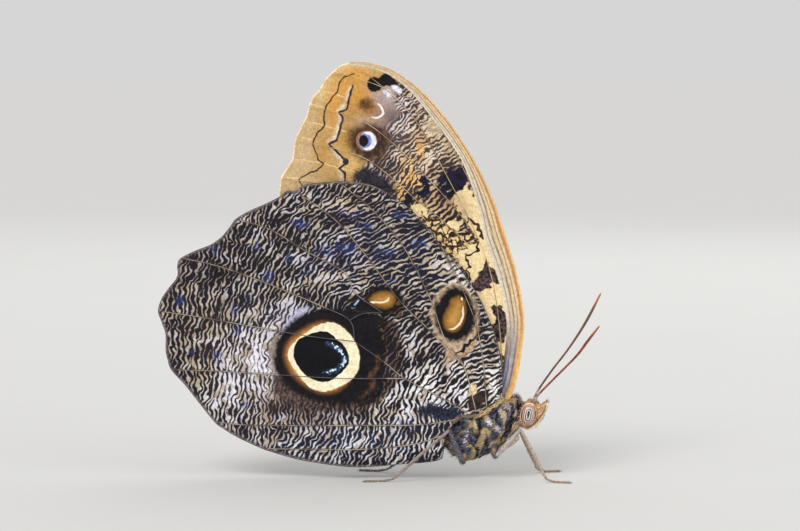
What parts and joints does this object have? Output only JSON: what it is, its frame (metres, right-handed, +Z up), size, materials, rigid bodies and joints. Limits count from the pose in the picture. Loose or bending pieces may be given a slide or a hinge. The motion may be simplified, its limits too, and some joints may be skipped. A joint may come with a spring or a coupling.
{
  "type": "owl butterfly",
  "caption": "Life-size still model of an owl butterfly at rest, wings closed over its back, standing on its walking legs.",
  "frame": {"origin": "middle of the floor area under the insect, on the floor", "axes": "+X towards the head, +Y towards the animal's left side, +Z up"},
  "size_m": [0.0888, 0.021, 0.0832],
  "materials": {
    "forewing": "scaled membrane, ochre margin, cream and dark brown marbling",
    "hindwing": "scaled membrane, fine dark and pale ripple lines, large eyespot",
    "body": "blue-grey and tan hairs over dark cuticle",
    "head": "short orange-tan scales and hairs",
    "eye": "smooth compound eye with faint bands",
    "antenna": "red-brown ringed cuticle",
    "leg": "greyish tan scales"
  },
  "bodies": {
    "root": {"head": "head", "eye_left": "eye", "eye_right": "eye", "palp_left": "head", "palp_right": "head", "antenna_left": "antenna", "antenna_right": "antenna", "thorax": "body", "abdomen": "body", "forewing_left": "forewing", "forewing_right": "forewing", "hindwing_left": "hindwing", "hindwing_right": "hindwing", "foreleg_left": "leg", "foreleg_right": "leg", "midleg_left": "leg", "midleg_right": "leg", "hindleg_left": "leg", "hindleg_right": "leg"}
  },
  "joints": []
}
